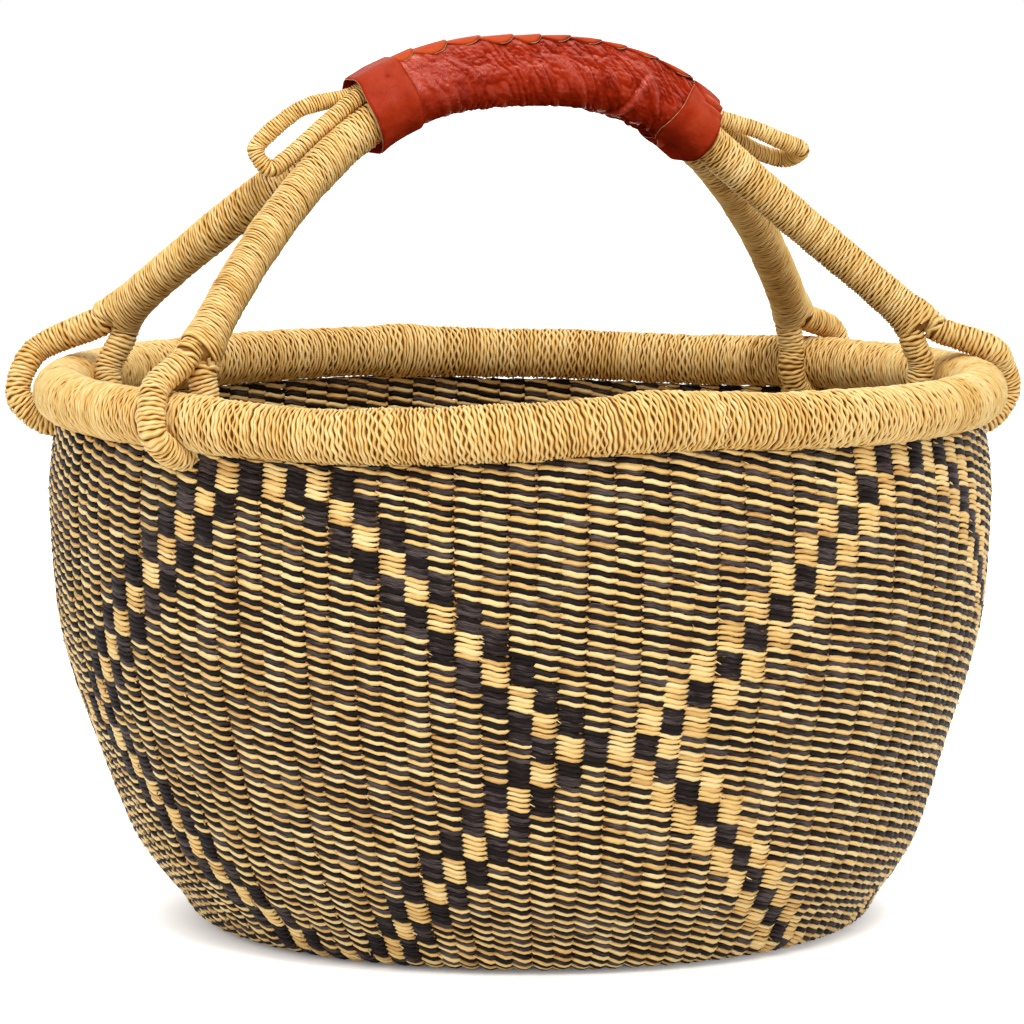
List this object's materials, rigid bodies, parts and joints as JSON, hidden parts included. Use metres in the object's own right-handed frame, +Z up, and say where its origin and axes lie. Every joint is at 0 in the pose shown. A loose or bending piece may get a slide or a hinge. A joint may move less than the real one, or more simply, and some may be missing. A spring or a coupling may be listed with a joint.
{
  "type": "bolga basket",
  "caption": "Round twined straw market basket with a straw-wrapped rim, a two-arch handle on four wrapped feet and a leather grip bound round its middle.",
  "frame": {"origin": "on the floor, under the middle of the flat base of the bowl", "axes": "+Z up, +X along the handle towards its right end as the picture shows it, +Y across the handle towards the back"},
  "size_m": [0.44, 0.4296, 0.3905],
  "materials": {
    "woven_straw": "twined elephant grass, natural and dyed near black",
    "wrapping_straw": "natural twisted straw, wound close, slight sheen",
    "straw_bundle": "bundle of dry grass, matte",
    "red_leather": "goat leather dyed red brown, wrinkled, soft sheen"
  },
  "bodies": {
    "root": {"woven_bowl": "woven_straw", "rim_wrap": "wrapping_straw", "front_arch_wrap": "wrapping_straw", "back_arch_wrap": "wrapping_straw", "back_left_foot_wrap": "wrapping_straw", "front_left_foot_wrap": "wrapping_straw", "front_right_foot_wrap": "wrapping_straw", "back_right_foot_wrap": "wrapping_straw", "left_ear_wrap": "wrapping_straw", "right_ear_wrap": "wrapping_straw", "rim_core": "straw_bundle", "front_arch_core": "straw_bundle", "back_arch_core": "straw_bundle", "back_left_foot_core": "straw_bundle", "front_left_foot_core": "straw_bundle", "front_right_foot_core": "straw_bundle", "back_right_foot_core": "straw_bundle", "left_ear_core": "straw_bundle", "right_ear_core": "straw_bundle", "leather_grip": "red_leather", "left_collar": "red_leather", "right_collar": "red_leather", "grip_lacing": "red_leather"}
  },
  "joints": []
}
